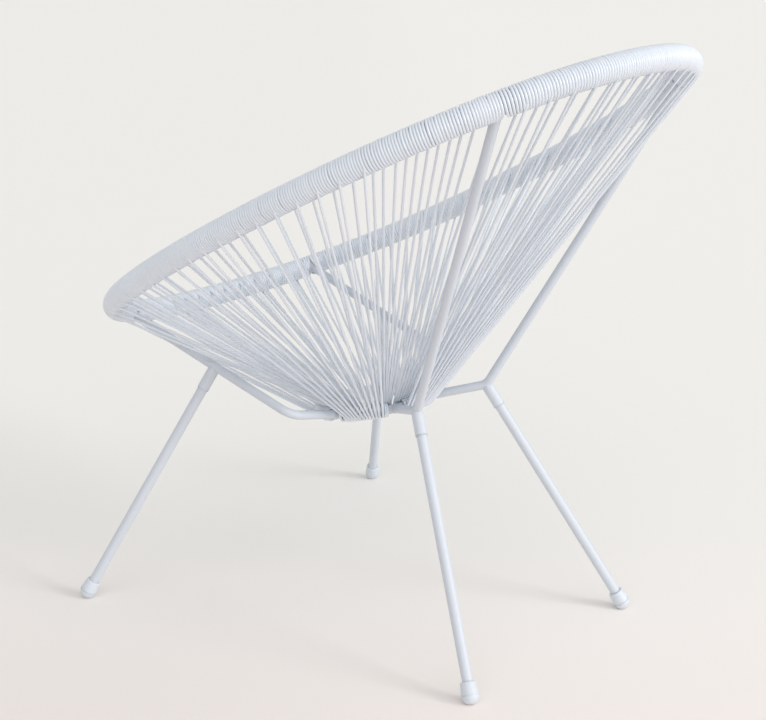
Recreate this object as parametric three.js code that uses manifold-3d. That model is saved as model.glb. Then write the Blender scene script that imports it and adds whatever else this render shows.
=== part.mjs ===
// A lounge chair of painted steel tube and wound plastic cord, in millimetres.
// The sitter faces -Y with +Z up and the origin on the floor between the feet.
// An egg-shaped rim, a small ring and four spokes make the frame, and four legs screw into it.
// One long cord is wound round the rim and runs down to the ring and back to make the seat.

import * as THREE from "three";
import { mergeVertices } from "three/addons/utils/BufferGeometryUtils.js";
import Module from "manifold-3d";

const wasm = await Module();
wasm.setup();

// Rim: an egg outline, wide at the front and narrow at the back, that leans back.
const rimCentreY = 0;
const rimCentreZ = 597.3;
const rimLeanAngle = 29.1;
const rimWidthTerm = 353.7;
const rimTaperTerm = 23.5;
const rimFlankTerm = 10.3;
const rimLengthTerm = 451.5;
const rimEndTerm = -10.2;
const rimTubeRadius = 12.5;
const rimTubeWall = 1.5;

// Seat ring: the small hoop under the seat that gathers the cord.
const ringCentreY = -30.7;
const ringCentreZ = 290.6;
const ringLeanAngle = 12.2;
const ringRadius = 80;
const ringTubeRadius = 6.35;
const ringTubeWall = 1.2;
const ventRadius = 2.5;

// Spokes: bent tubes from the rim to the seat ring, placed along the rim from its front and back.
const spokeRadius = 6.35;
const spokeWall = 1.2;
const spokeBendRadius = 20;
const frontSpokeReach = 207;
const backSpokeReach = 228.5;
const frontBend = { x: 179, y: -29.5, z: 315 };
const backBend = { x: 78.8, y: 110.5, z: 329.5 };
const frontStubAngle = 88;
const backStubAngle = 151;

// Legs: sockets under the spokes, straight tubes, hidden studs and plastic feet.
const frontSocketRun = 181.6;
const frontFoot = { x: 320.3, y: -307 };
const backFoot = { x: 183.2, y: 293.8 };
const legRadius = 7.25;
const legWall = 1.2;
const socketWall = 0.85;
const socketReach = 37;
const legInsert = 20;
const studRadius = 4;
const studPlugLength = 18;
const studThreadLength = 8;
const footRadius = 11.75;
const footFlatRadius = 4;
const footSleeve = 18;
const footBore = 16;
const footShoulder = 1.5;
const floorCutSize = 50;

// Cord: its size, the clear room at a spoke, a stub and the ring's winding, and how the strands share out.
// Those of the rim's front fan out over the front half of the ring, and the rest share its back.
const cordDiameter = 4;
const cordSpokeRoom = 8;
const cordStubRoom = 3;
const cordRingRoom = 2;
const strandPitch = 16;
const frontFanReach = 383;
const frontFanAngle = 86;
const frontOuterReach = 320;
const frontMarginAngle = 14;
const backMarginAngle = 9;

// Clearance between pieces that touch, and the overrun of every cut.
const gap = 0.3;
const overrun = 5;

const tubeSides = 12;
const rimSides = 10;
const strandSides = 4;
const stepsPerSection = 4;
const ringSteps = { front: 6, side: 4, back: 4 };
const bendSteps = 6;
const domeSteps = 5;
const lengthSamples = 720;

const cordRadius = cordDiameter / 2;
const ringWoundRadius = ringTubeRadius + gap + cordDiameter;
const sides = { left: 1, right: -1 };

const paint = new THREE.MeshStandardMaterial({ color: 0xe6e9ee, roughness: 0.38, metalness: 0.1 });
const cord = new THREE.MeshStandardMaterial({ color: 0xe9ecf2, roughness: 0.3, metalness: 0 });
const footPlastic = new THREE.MeshStandardMaterial({ color: 0xdfe3e9, roughness: 0.45, metalness: 0 });
const zinc = new THREE.MeshStandardMaterial({ color: 0xb4b8bc, roughness: 0.35, metalness: 0.9 });

/** A flat closed line that leans back about X, with its inward side and its seat side known. */
class FlatLoop extends THREE.Curve {
  constructor(centreY, centreZ, lean) {
    super();
    const angle = THREE.MathUtils.degToRad(lean);
    this.arcLengthDivisions = lengthSamples;
    this.centre = new THREE.Vector3(0, centreY, centreZ);
    this.backward = new THREE.Vector3(0, Math.cos(angle), Math.sin(angle));
    this.seatSide = new THREE.Vector3(0, -Math.sin(angle), Math.cos(angle));
  }

  getPoint(t) {
    const flat = this.outline(2 * Math.PI * t);
    const point = this.centre.clone().addScaledVector(this.backward, flat.y);
    point.x += flat.x;
    return point;
  }

  station(u) {
    const along = this.getTangentAt(THREE.MathUtils.euclideanModulo(u, 1));
    const inward = this.seatSide.clone().cross(along);
    const centre = this.getPointAt(THREE.MathUtils.euclideanModulo(u, 1));
    return { centre, along, across: inward, up: this.seatSide };
  }
}

/** The rim's egg, from the front middle towards the sitter's left. */
class RimLine extends FlatLoop {
  outline(angle) {
    const x =
      rimWidthTerm * Math.sin(angle) +
      rimTaperTerm * Math.sin(2 * angle) +
      rimFlankTerm * Math.sin(3 * angle);
    const y = -rimLengthTerm * Math.cos(angle) + rimEndTerm * (Math.cos(2 * angle) - 1);
    return { x, y };
  }
}

/** The seat ring's circle, from the front middle towards the sitter's left. */
class RingLine extends FlatLoop {
  outline(angle) {
    return { x: ringRadius * Math.sin(angle), y: -ringRadius * Math.cos(angle) };
  }
}

/** Two straight runs with one round bend between them, and all its steps in the bend. */
class BentRun extends THREE.Curve {
  constructor(start, corner, end, radius) {
    super();
    const into = corner.clone().sub(start).normalize();
    const out = end.clone().sub(corner).normalize();
    const turn = into.angleTo(out);
    const hinge = into.clone().cross(out).normalize();
    const setback = radius * Math.tan(turn / 2);
    const spoke = into.clone().cross(hinge);
    const centre = corner.clone().addScaledVector(into, -setback).addScaledVector(spoke, -radius);
    this.points = [start];
    this.directions = [into];
    for (let step = 0; step <= bendSteps; step += 1) {
      const angle = (turn * step) / bendSteps;
      const arm = spoke.clone().applyAxisAngle(hinge, angle).multiplyScalar(radius);
      this.points.push(centre.clone().add(arm));
      this.directions.push(into.clone().applyAxisAngle(hinge, angle));
    }
    this.points.push(end);
    this.directions.push(out);
    this.steps = this.points.length - 1;
    this.bendMiddle = this.points[1 + bendSteps / 2];
  }

  getUtoTmapping(u) {
    return u;
  }

  getPoint(t) {
    const place = t * this.steps;
    const index = Math.min(Math.floor(place), this.steps - 1);
    return this.points[index].clone().lerp(this.points[index + 1], place - index);
  }

  getTangent(t) {
    return this.directions[Math.round(t * this.steps)].clone();
  }
}

/** Turns a closed geometry into a solid that can be joined and cut. */
function toSolid(geometry) {
  const plain = geometry.clone();
  plain.deleteAttribute("normal");
  plain.deleteAttribute("uv");
  const merged = mergeVertices(plain);
  const vertProperties = new Float32Array(merged.attributes.position.array);
  const triVerts = new Uint32Array(merged.index.array);
  return new wasm.Manifold(new wasm.Mesh({ numProp: 3, vertProperties, triVerts }));
}

/** Turns a solid back into a geometry. */
function toGeometry(solid) {
  const mesh = solid.getMesh();
  const geometry = new THREE.BufferGeometry();
  geometry.setAttribute("position", new THREE.BufferAttribute(new Float32Array(mesh.vertProperties), 3));
  geometry.setIndex(new THREE.BufferAttribute(new Uint32Array(mesh.triVerts), 1));
  geometry.computeVertexNormals();
  return geometry;
}

/** A tube through the stations, which keeps their facets lined up; inner is 0 for a bar. */
function loft(stations, outer, inner, sideCount, closed) {
  const positions = [];
  const faces = [];
  const radii = inner > 0 ? [outer, inner] : [outer];
  for (const radius of radii) {
    for (const { centre, across, up: rise } of stations) {
      for (let side = 0; side < sideCount; side += 1) {
        const angle = (2 * Math.PI * side) / sideCount;
        const point = centre.clone().addScaledVector(across, radius * Math.cos(angle));
        point.addScaledVector(rise, radius * Math.sin(angle));
        positions.push(point.x, point.y, point.z);
      }
    }
  }
  const count = stations.length;
  const at = (layer, ring, side) => (layer * count + (ring % count)) * sideCount + (side % sideCount);
  const quad = (a, b, c, d) => faces.push(a, b, c, a, c, d);
  for (let ring = 0; ring < (closed ? count : count - 1); ring += 1) {
    for (let side = 0; side < sideCount; side += 1) {
      quad(at(0, ring, side), at(0, ring, side + 1), at(0, ring + 1, side + 1), at(0, ring + 1, side));
      if (inner > 0) {
        quad(at(1, ring, side), at(1, ring + 1, side), at(1, ring + 1, side + 1), at(1, ring, side + 1));
      }
    }
  }
  const last = count - 1;
  for (let side = 0; !closed && side < sideCount; side += 1) {
    if (inner > 0) {
      quad(at(0, 0, side), at(1, 0, side), at(1, 0, side + 1), at(0, 0, side + 1));
      quad(at(0, last, side), at(0, last, side + 1), at(1, last, side + 1), at(1, last, side));
    } else if (side > 0 && side < sideCount - 1) {
      faces.push(at(0, 0, 0), at(0, 0, side + 1), at(0, 0, side));
      faces.push(at(0, last, 0), at(0, last, side), at(0, last, side + 1));
    }
  }
  const geometry = new THREE.BufferGeometry();
  geometry.setAttribute("position", new THREE.BufferAttribute(new Float32Array(positions), 3));
  geometry.setIndex(faces);
  return toSolid(geometry);
}

/** A round bar or tube along a path, as a solid. */
function extrudeAlong(path, steps, outer, inner) {
  const section = new THREE.Shape();
  section.absarc(0, 0, outer, 0, 2 * Math.PI, false);
  if (inner > 0) {
    const bore = new THREE.Path();
    bore.absarc(0, 0, inner, 0, 2 * Math.PI, true);
    section.holes.push(bore);
  }
  const options = { steps, curveSegments: tubeSides / 2, bevelEnabled: false, extrudePath: path };
  return toSolid(new THREE.ExtrudeGeometry(section, options));
}

/** A piece turned on a lathe, as a solid that stands at base and points along direction. */
function turned(profile, base, direction) {
  const points = profile.map(([radius, height]) => new THREE.Vector2(radius, height));
  const geometry = new THREE.LatheGeometry([...points, points[0].clone()], tubeSides);
  geometry.applyQuaternion(new THREE.Quaternion().setFromUnitVectors(new THREE.Vector3(0, 1, 0), direction));
  geometry.translate(base.x, base.y, base.z);
  return toSolid(geometry);
}

/** A straight round bar between two points, as a solid. */
function bar(start, end, radius, sideCount) {
  const direction = end.clone().sub(start);
  const length = direction.length();
  const geometry = new THREE.CylinderGeometry(radius, radius, length, sideCount, 1);
  const turn = new THREE.Quaternion().setFromUnitVectors(new THREE.Vector3(0, 1, 0), direction.normalize());
  geometry.applyQuaternion(turn);
  const middle = start.clone().lerp(end, 0.5);
  geometry.translate(middle.x, middle.y, middle.z);
  return toSolid(geometry);
}

/** Joins a list of solids into one. */
function joined(solids) {
  return solids.reduce((whole, piece) => whole.add(piece));
}

const rimLine = new RimLine(rimCentreY, rimCentreZ, rimLeanAngle);
const ringLine = new RingLine(ringCentreY, ringCentreZ, ringLeanAngle);
const rimLength = rimLine.getLength();
const ringLength = ringLine.getLength();

// The spokes meet the rim at these shares of its length, in order from the front middle.
const spokePlaces = [
  frontSpokeReach / rimLength,
  (rimLength / 2 - backSpokeReach) / rimLength,
  (rimLength / 2 + backSpokeReach) / rimLength,
  1 - frontSpokeReach / rimLength,
];

/** Where the strands leave the rim between two spokes, evenly spread with room at each spoke. */
function strandPlaces(from, to) {
  const room = (spokeRadius + cordSpokeRoom + cordRadius) / rimLength;
  const span = to - from - 2 * room;
  const count = 2 * Math.round((span * rimLength) / strandPitch / 2);
  return Array.from({ length: count }, (_, index) => from + room + (span * index) / (count - 1));
}

/** How far round the ring a strand meets it, from its reach along the rim, hopping over the stubs. */
function fannedAngle(reach) {
  const stubRoom = (360 * (spokeRadius + cordStubRoom)) / ringLength;
  const restAngle = 180 - 4 * stubRoom - frontFanAngle;
  const restShare = (reach - frontFanReach) / (rimLength / 2 - frontFanReach);
  const inFront = reach < frontFanReach;
  let angle = inFront ? (frontFanAngle * reach) / frontFanReach : frontFanAngle + restAngle * restShare;
  for (const stubAngle of [frontStubAngle, backStubAngle]) {
    angle += angle > stubAngle - stubRoom ? 2 * stubRoom : 0;
  }
  return angle;
}

/** A strand at a place on the rim: its angle on the ring, and whether each end is on the seat side. */
function strandAt(place, index) {
  const wrapped = THREE.MathUtils.euclideanModulo(place, 1);
  const reach = rimLength * Math.min(wrapped, 1 - wrapped);
  const angle = fannedAngle(reach);
  const isEven = index % 2 === 0;
  const pastFront = reach > frontSpokeReach;
  const crossesFront = pastFront && angle < frontStubAngle + frontMarginAngle;
  const crossesBack = reach < rimLength / 2 - backSpokeReach && angle > backStubAngle - backMarginAngle;
  return {
    place,
    angle: wrapped < 1 - wrapped ? angle : 360 - angle,
    topInside: isEven || crossesBack || (pastFront && reach < frontOuterReach),
    bottomInside: isEven || crossesBack || crossesFront,
  };
}

// A bay of the seat lies between two spokes on the rim.
// Its cord is wound in sections, each a piece of its own.
const bays = [
  { names: ["front_right", "front_left"], rim: [spokePlaces[3] - 1, spokePlaces[0]] },
  { names: ["left_1", "left_2", "left_3", "left_4"], rim: [spokePlaces[0], spokePlaces[1]] },
  { names: ["back_left", "back_right"], rim: [spokePlaces[1], spokePlaces[2]] },
  { names: ["right_4", "right_3", "right_2", "right_1"], rim: [spokePlaces[2], spokePlaces[3]] },
];

const sections = bays.flatMap(({ names, rim }) => {
  const places = strandPlaces(...rim);
  const strands = places.map(strandAt);
  return names.map((name, index) => {
    const first = Math.round((places.length * index) / names.length);
    const next = Math.round((places.length * (index + 1)) / names.length);
    const start = index === 0 ? rim[0] : (places[first - 1] + places[first]) / 2;
    const end = index === names.length - 1 ? rim[1] : (places[next - 1] + places[next]) / 2;
    return { name, start, end, strands: strands.slice(first, next) };
  });
});

/** The stations of a rim section; trim holds its ends back from its neighbours. */
function rimStations(section, trim) {
  const places = [section.start + trim / rimLength];
  for (let step = 1; step < stepsPerSection; step += 1) {
    places.push(section.start + ((section.end - section.start) * step) / stepsPerSection);
  }
  places.push(section.end - trim / rimLength);
  return places.map((place) => rimLine.station(place));
}

const rimLoop = sections.flatMap((section) => rimStations(section, 0).slice(0, stepsPerSection));

// The seat ring's winding lies in sleeves between the stubs, with the longest one split in two.
const windings = [
  { name: "front_right", from: -frontStubAngle, to: 0, steps: ringSteps.front },
  { name: "front_left", from: 0, to: frontStubAngle, steps: ringSteps.front },
  { name: "left", from: frontStubAngle, to: backStubAngle, steps: ringSteps.side },
  { name: "back", from: backStubAngle, to: 360 - backStubAngle, steps: ringSteps.back },
  { name: "right", from: 360 - backStubAngle, to: 360 - frontStubAngle, steps: ringSteps.side },
];

/** The stations of a winding sleeve on the ring; trim holds its ends back from its neighbours. */
function ringStations({ from, to, steps }, trim) {
  const hold = (360 * trim) / ringLength;
  return Array.from({ length: steps + 1 }, (_, step) => {
    const held = { 0: hold, [steps]: -hold }[step] ?? 0;
    return ringLine.station((from + ((to - from) * step) / steps + held) / 360);
  });
}

const ringLoop = windings.flatMap((winding) => ringStations(winding, 0).slice(0, winding.steps));

/** A closed hoop of tube with one small vent hole on its underside at its front. */
function hoop(line, loop, outer, wall, sideCount) {
  const { centre } = line.station(0);
  const below = centre.clone().addScaledVector(line.seatSide, -(outer + overrun));
  const vent = bar(centre, below, ventRadius, tubeSides);
  return loft(loop, outer, outer - wall, sideCount, true).subtract(vent);
}

const solids = new Map();
const materials = new Map();

/** Keeps a finished solid under its name with its finish. */
function keep(name, solid, material) {
  solids.set(name, solid);
  materials.set(name, material);
}

keep("rim_tube", hoop(rimLine, rimLoop, rimTubeRadius, rimTubeWall, rimSides), paint);
keep("seat_ring", hoop(ringLine, ringLoop, ringTubeRadius, ringTubeWall, rimSides), paint);
const rimKeepOut = loft(rimLoop, rimTubeRadius + gap, 0, rimSides, true);
const ringKeepOut = loft(ringLoop, ringTubeRadius + gap, 0, rimSides, true);

/** A point that is named on the sitter's left, on the side asked for. */
function onSide({ x, y, z }, side) {
  return new THREE.Vector3(x * side, y, z);
}

/** The route of a spoke, from the rim's middle line to just short of the seat ring's. */
function spokeRoute(end, side) {
  const place = spokePlaces[end === "front" ? 0 : 1];
  const start = rimLine.getPointAt(side > 0 ? place : 1 - place);
  const corner = onSide(end === "front" ? frontBend : backBend, side);
  const stubAngle = end === "front" ? frontStubAngle : backStubAngle;
  const ringPoint = ringLine.getPoint(side > 0 ? stubAngle / 360 : 1 - stubAngle / 360);
  const stub = ringPoint.clone().sub(corner).normalize();
  return new BentRun(start, corner, ringPoint.addScaledVector(stub, -spokeRadius / 2), spokeBendRadius);
}

/** Where a leg's middle line meets its spoke's. */
function socketPoint(end, route) {
  if (end === "back") {
    return route.bendMiddle;
  }
  return route.points[0].clone().addScaledVector(route.directions[0], frontSocketRun);
}

/** The socket's profile: a sleeve for the leg with a threaded end above it. */
function socketProfile() {
  const outer = legRadius + gap + socketWall;
  return [
    [legRadius + gap, 0],
    [outer, 0],
    [outer, socketReach],
    [studRadius + gap, socketReach],
    [studRadius + gap, legInsert + gap],
    [legRadius + gap, legInsert + gap],
  ];
}

/** The leg's profile: a plain tube that stands in the foot's bore. */
function legProfile(length) {
  return [
    [legRadius - legWall, 0],
    [legRadius, 0],
    [legRadius, length],
    [legRadius - legWall, length],
  ];
}

/** The hidden stud's profile: a plug in the leg's top and a threaded end that screws in. */
function studProfile() {
  const plug = legRadius - legWall - gap;
  return [
    [0, 0],
    [plug, 0],
    [plug, studPlugLength],
    [studRadius, studPlugLength],
    [studRadius, studPlugLength + studThreadLength],
    [0, studPlugLength + studThreadLength],
  ];
}

/** The foot's profile: a round dome below, a sleeve above and a blind bore for the leg. */
function footProfile() {
  const dome = Array.from({ length: domeSteps + 1 }, (_, step) => {
    const angle = (Math.PI / 2) * (step / domeSteps);
    return [footRadius * Math.sin(angle), -footRadius * Math.cos(angle)];
  });
  const floor = footSleeve - footBore;
  return [
    ...dome,
    [footRadius, footSleeve - footShoulder],
    [footRadius - footShoulder, footSleeve],
    [legRadius + gap, footSleeve],
    [legRadius + gap, floor],
    [0, floor],
  ];
}

const domeHeight = Math.sqrt(footRadius ** 2 - footFlatRadius ** 2);
const belowFloor = new THREE.BoxGeometry(floorCutSize, floorCutSize, floorCutSize);

for (const [sideName, side] of Object.entries(sides)) {
  for (const end of ["front", "back"]) {
    const corner = `${end}_${sideName}`;
    const route = spokeRoute(end, side);
    const spokeTube = extrudeAlong(route, route.steps, spokeRadius, spokeRadius - spokeWall);
    const spokeKeepOut = extrudeAlong(route, route.steps, spokeRadius + gap, 0);
    keep(`spoke_${corner}`, spokeTube.subtract(rimKeepOut).subtract(ringKeepOut), paint);

    const top = socketPoint(end, route);
    const foot = end === "front" ? frontFoot : backFoot;
    const ball = new THREE.Vector3(foot.x * side, foot.y, domeHeight);
    const upLeg = top.clone().sub(ball).normalize();
    const socketMouth = top.clone().addScaledVector(upLeg, -socketReach);
    const socket = turned(socketProfile(), socketMouth, upLeg);
    keep(`leg_socket_${corner}`, socket.subtract(spokeKeepOut), paint);

    const legBase = ball.clone().addScaledVector(upLeg, footSleeve - footBore + gap);
    const legTop = socketMouth.clone().addScaledVector(upLeg, legInsert);
    keep(`leg_${corner}`, turned(legProfile(legTop.distanceTo(legBase)), legBase, upLeg), paint);
    const studBase = legTop.clone().addScaledVector(upLeg, -studPlugLength);
    keep(`leg_stud_${corner}`, turned(studProfile(), studBase, upLeg), zinc);

    const floorCut = belowFloor.clone().translate(ball.x, ball.y, -floorCutSize / 2);
    keep(`foot_cap_${corner}`, turned(footProfile(), ball, upLeg).subtract(toSolid(floorCut)), footPlastic);
    solids.set(`keep_out_${corner}`, spokeKeepOut);
  }
}

const spokeKeepOuts = ["front_left", "back_left", "back_right", "front_right"].map((corner) => {
  const solid = solids.get(`keep_out_${corner}`);
  solids.delete(`keep_out_${corner}`);
  return solid;
});

/** One straight strand, from the side of the rim's tube to the same side of the ring's winding. */
function strand({ place, angle, topInside, bottomInside }) {
  const top = rimLine.station(place);
  const bottom = ringLine.station(angle / 360);
  const run = bottom.centre.clone().sub(top.centre).normalize();
  const topFace = top.along.clone().cross(run).setLength(topInside ? 1 : -1);
  const bottomFace = bottom.along.clone().cross(run).setLength(bottomInside ? 1 : -1);
  const start = top.centre.clone().addScaledVector(topFace, rimTubeRadius + gap + cordRadius);
  const end = bottom.centre.clone().addScaledVector(bottomFace, ringTubeRadius + gap + cordRadius);
  const direction = end.clone().sub(start).normalize();
  const slant = Math.abs(direction.dot(bottom.along));
  const reach = ringWoundRadius + cordRingRoom;
  const inset = Math.sqrt(reach ** 2 - (ringTubeRadius + gap) ** 2) + cordRadius * slant;
  const short = inset / Math.sqrt(1 - slant ** 2);
  return bar(start, end.addScaledVector(direction, -short), cordRadius, strandSides);
}

/** A wound sleeve with room cut in it for the spokes. */
function woundSleeve(stations, tubeRadius) {
  const sleeve = loft(stations, tubeRadius + gap + cordDiameter, tubeRadius + gap, rimSides, false);
  return spokeKeepOuts.reduce((left, keepOut) => left.subtract(keepOut), sleeve);
}

for (const section of sections) {
  const sleeve = woundSleeve(rimStations(section, gap / 2), rimTubeRadius);
  const strands = joined(section.strands.map(strand)).subtract(rimKeepOut);
  keep(`cords_${section.name}`, sleeve.add(strands), cord);
}

for (const winding of windings) {
  const sleeve = woundSleeve(ringStations(winding, gap / 2), ringTubeRadius);
  keep(`ring_winding_${winding.name}`, sleeve, cord);
}

const part = new THREE.Group();
for (const [name, solid] of solids) {
  const mesh = new THREE.Mesh(toGeometry(solid), materials.get(name));
  mesh.name = name;
  part.add(mesh);
}

export default part;
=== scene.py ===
# A low lounge chair of white painted steel tube and white plastic cord.
# All sizes are in metres. The sitter faces -Y, +Z is up, and the floor is at zero.

import math

import bpy
import numpy as np
from mathutils import Matrix, Vector


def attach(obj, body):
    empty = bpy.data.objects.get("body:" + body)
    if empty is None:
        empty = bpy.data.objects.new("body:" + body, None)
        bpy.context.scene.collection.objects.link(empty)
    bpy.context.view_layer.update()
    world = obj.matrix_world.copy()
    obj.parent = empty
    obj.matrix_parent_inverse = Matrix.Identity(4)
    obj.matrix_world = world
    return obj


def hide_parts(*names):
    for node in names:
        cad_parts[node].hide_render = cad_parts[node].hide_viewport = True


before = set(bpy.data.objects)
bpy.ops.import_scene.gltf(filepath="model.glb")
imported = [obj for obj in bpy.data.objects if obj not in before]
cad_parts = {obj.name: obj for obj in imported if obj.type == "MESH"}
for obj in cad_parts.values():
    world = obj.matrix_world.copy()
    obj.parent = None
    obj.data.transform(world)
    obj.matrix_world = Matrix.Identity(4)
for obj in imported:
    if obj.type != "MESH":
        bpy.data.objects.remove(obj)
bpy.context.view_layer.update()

# Camera: behind the chair and to the sitter's left, a little above the rim.
# A short telephoto lens, with the frame shifted slightly as the photograph was cropped.
CAMERA_TURN = math.radians(130.69)
CAMERA_LIFT = math.radians(17.35)
CAMERA_ROLL = 0.015
CAMERA_AIM = Vector((0.0, -0.048, 0.3515))
CAMERA_DISTANCE = 2.18
CAMERA_LENS = 70.5
CAMERA_SHIFT_X = 0.0209
CAMERA_SHIFT_Y = -0.0017


def add_camera():
    """The photograph's camera, which looks along its own -Z."""
    back = Vector(
        (
            math.sin(CAMERA_TURN) * math.cos(CAMERA_LIFT),
            -math.cos(CAMERA_TURN) * math.cos(CAMERA_LIFT),
            math.sin(CAMERA_LIFT),
        )
    )
    right = Vector((math.cos(CAMERA_TURN), math.sin(CAMERA_TURN), 0.0))
    up = back.cross(right)
    rolled_right = right * math.cos(CAMERA_ROLL) + up * math.sin(CAMERA_ROLL)
    rolled_up = up * math.cos(CAMERA_ROLL) - right * math.sin(CAMERA_ROLL)
    camera = bpy.data.objects.new("camera", bpy.data.cameras.new("camera"))
    camera.data.lens = CAMERA_LENS
    camera.data.shift_x = CAMERA_SHIFT_X
    camera.data.shift_y = CAMERA_SHIFT_Y
    turn = Matrix((rolled_right, rolled_up, back)).transposed().to_4x4()
    camera.matrix_world = Matrix.Translation(CAMERA_AIM + back * CAMERA_DISTANCE) @ turn
    bpy.context.scene.collection.objects.link(camera)
    bpy.context.scene.camera = camera


add_camera()
bpy.context.scene.view_settings.view_transform = "Standard"

# Studio: a pale seamless floor, warmer where it comes nearer, with painted shade that makes it a
# little darker at the left, most of all in its nearer part.
# A soft key lamp and a broader fill stand to the camera's right, and the bright room does the rest.
FLOOR_HALF = 40.0
FLOOR_NEAR = (0.97, 0.893, 0.848, 1.0)
FLOOR_FAR = (0.927, 0.908, 0.87, 1.0)
FLOOR_FADE_START = -0.6
FLOOR_FADE_END = 0.5
# Painted shade: between these side places the floor's colours are painted darker towards the left,
# the near colour more than the far one.
FLOOR_PAINTED_SHADE_START = -0.5
FLOOR_PAINTED_SHADE_END = 0.7
FLOOR_NEAR_PAINTED_SHADE = 0.115
FLOOR_FAR_PAINTED_SHADE = 0.028
FLOOR_ROUGHNESS = 0.9
FLOOR_GLOSS = 0.1
ROOM_SHOWN = (0.86, 0.85, 0.835, 1.0)
ROOM_LIGHT = (0.97, 0.985, 1.0, 1.0)
ROOM_STRENGTH = 0.58
KEY_STRENGTH = 1.1
KEY_ANGLE = math.radians(22)
KEY_TURN = math.radians(198)
KEY_LIFT = math.radians(22)
FILL_STRENGTH = 1.5
FILL_ANGLE = math.radians(110)
FILL_TURN = math.radians(153)
FILL_LIFT = math.radians(27)


def add_floor():
    """A flat floor whose colour fades from near to far, with painted shade that darkens it from
    right to left.
    """
    mesh = bpy.data.meshes.new("floor")
    signs = ((-1, -1), (1, -1), (1, 1), (-1, 1))
    corners = [(x * FLOOR_HALF, y * FLOOR_HALF, 0.0) for x, y in signs]
    mesh.from_pydata(corners, [], [(0, 1, 2, 3)])
    material = bpy.data.materials.new("studio_floor")
    material.use_nodes = True
    nodes = material.node_tree.nodes
    links = material.node_tree.links
    shader = nodes["Principled BSDF"]
    shader.inputs["Roughness"].default_value = FLOOR_ROUGHNESS
    shader.inputs["Specular IOR Level"].default_value = FLOOR_GLOSS
    place = nodes.new("ShaderNodeTexCoord")
    fades = []
    away = (-math.sin(CAMERA_TURN), math.cos(CAMERA_TURN), 0.0)
    sideways = (math.cos(CAMERA_TURN), math.sin(CAMERA_TURN), 0.0)
    for direction, start, end in (
        (away, FLOOR_FADE_START, FLOOR_FADE_END),
        (sideways, FLOOR_PAINTED_SHADE_START, FLOOR_PAINTED_SHADE_END),
    ):
        along = nodes.new("ShaderNodeVectorMath")
        along.operation = "DOT_PRODUCT"
        along.inputs[1].default_value = direction
        fade = nodes.new("ShaderNodeMapRange")
        fade.interpolation_type = "SMOOTHSTEP"
        fade.inputs["From Min"].default_value = start
        fade.inputs["From Max"].default_value = end
        links.new(place.outputs["Object"], along.inputs[0])
        links.new(along.outputs["Value"], fade.inputs["Value"])
        fades.append(fade)
    depth_fade, painted_shade_fade = fades
    mix = nodes.new("ShaderNodeMix")
    mix.data_type = "RGBA"
    # Painted shade: each floor colour is scaled darker towards the left of the view.
    for socket, colour, painted_side_shade in (
        ("A", FLOOR_NEAR, FLOOR_NEAR_PAINTED_SHADE),
        ("B", FLOOR_FAR, FLOOR_FAR_PAINTED_SHADE),
    ):
        share = nodes.new("ShaderNodeMapRange")
        share.inputs["To Min"].default_value = 1.0 - painted_side_shade
        shade = nodes.new("ShaderNodeVectorMath")
        shade.operation = "SCALE"
        shade.inputs[0].default_value = colour[:3]
        links.new(painted_shade_fade.outputs["Result"], share.inputs["Value"])
        links.new(share.outputs["Result"], shade.inputs["Scale"])
        links.new(shade.outputs["Vector"], mix.inputs[socket])
    links.new(depth_fade.outputs["Result"], mix.inputs["Factor"])
    links.new(mix.outputs["Result"], shader.inputs["Base Color"])
    mesh.materials.append(material)
    floor = bpy.data.objects.new("floor", mesh)
    bpy.context.scene.collection.objects.link(floor)


def add_room():
    """The room's even light, and the pale wall that the camera and reflections see."""
    world = bpy.data.worlds.new("room")
    world.use_nodes = True
    nodes = world.node_tree.nodes
    links = world.node_tree.links
    nodes.clear()
    light = nodes.new("ShaderNodeBackground")
    light.inputs["Color"].default_value = ROOM_LIGHT
    light.inputs["Strength"].default_value = ROOM_STRENGTH
    shown = nodes.new("ShaderNodeBackground")
    shown.inputs["Color"].default_value = ROOM_SHOWN
    rays = nodes.new("ShaderNodeLightPath")
    seen = nodes.new("ShaderNodeMath")
    seen.operation = "ADD"
    seen_through = nodes.new("ShaderNodeMath")
    seen_through.operation = "ADD"
    mix = nodes.new("ShaderNodeMixShader")
    out = nodes.new("ShaderNodeOutputWorld")
    links.new(rays.outputs["Is Camera Ray"], seen.inputs[0])
    links.new(rays.outputs["Is Glossy Ray"], seen.inputs[1])
    links.new(seen.outputs["Value"], seen_through.inputs[0])
    links.new(rays.outputs["Is Transmission Ray"], seen_through.inputs[1])
    links.new(seen_through.outputs["Value"], mix.inputs["Fac"])
    links.new(light.outputs["Background"], mix.inputs[1])
    links.new(shown.outputs["Background"], mix.inputs[2])
    links.new(mix.outputs["Shader"], out.inputs["Surface"])
    bpy.context.scene.world = world


def add_lamp(name, strength, angle, turn, lift):
    """A sun with a wide soft edge, at a turn about the chair and a lift above the floor."""
    lamp = bpy.data.lights.new(name, "SUN")
    lamp.energy = strength
    lamp.angle = angle
    level = math.cos(lift)
    towards = Vector((math.sin(turn) * level, -math.cos(turn) * level, math.sin(lift)))
    holder = bpy.data.objects.new(name, lamp)
    holder.rotation_euler = towards.to_track_quat("Z", "Y").to_euler()
    bpy.context.scene.collection.objects.link(holder)


add_floor()
add_room()
add_lamp("key", KEY_STRENGTH, KEY_ANGLE, KEY_TURN, KEY_LIFT)
add_lamp("fill", FILL_STRENGTH, FILL_ANGLE, FILL_TURN, FILL_LIFT)

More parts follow.
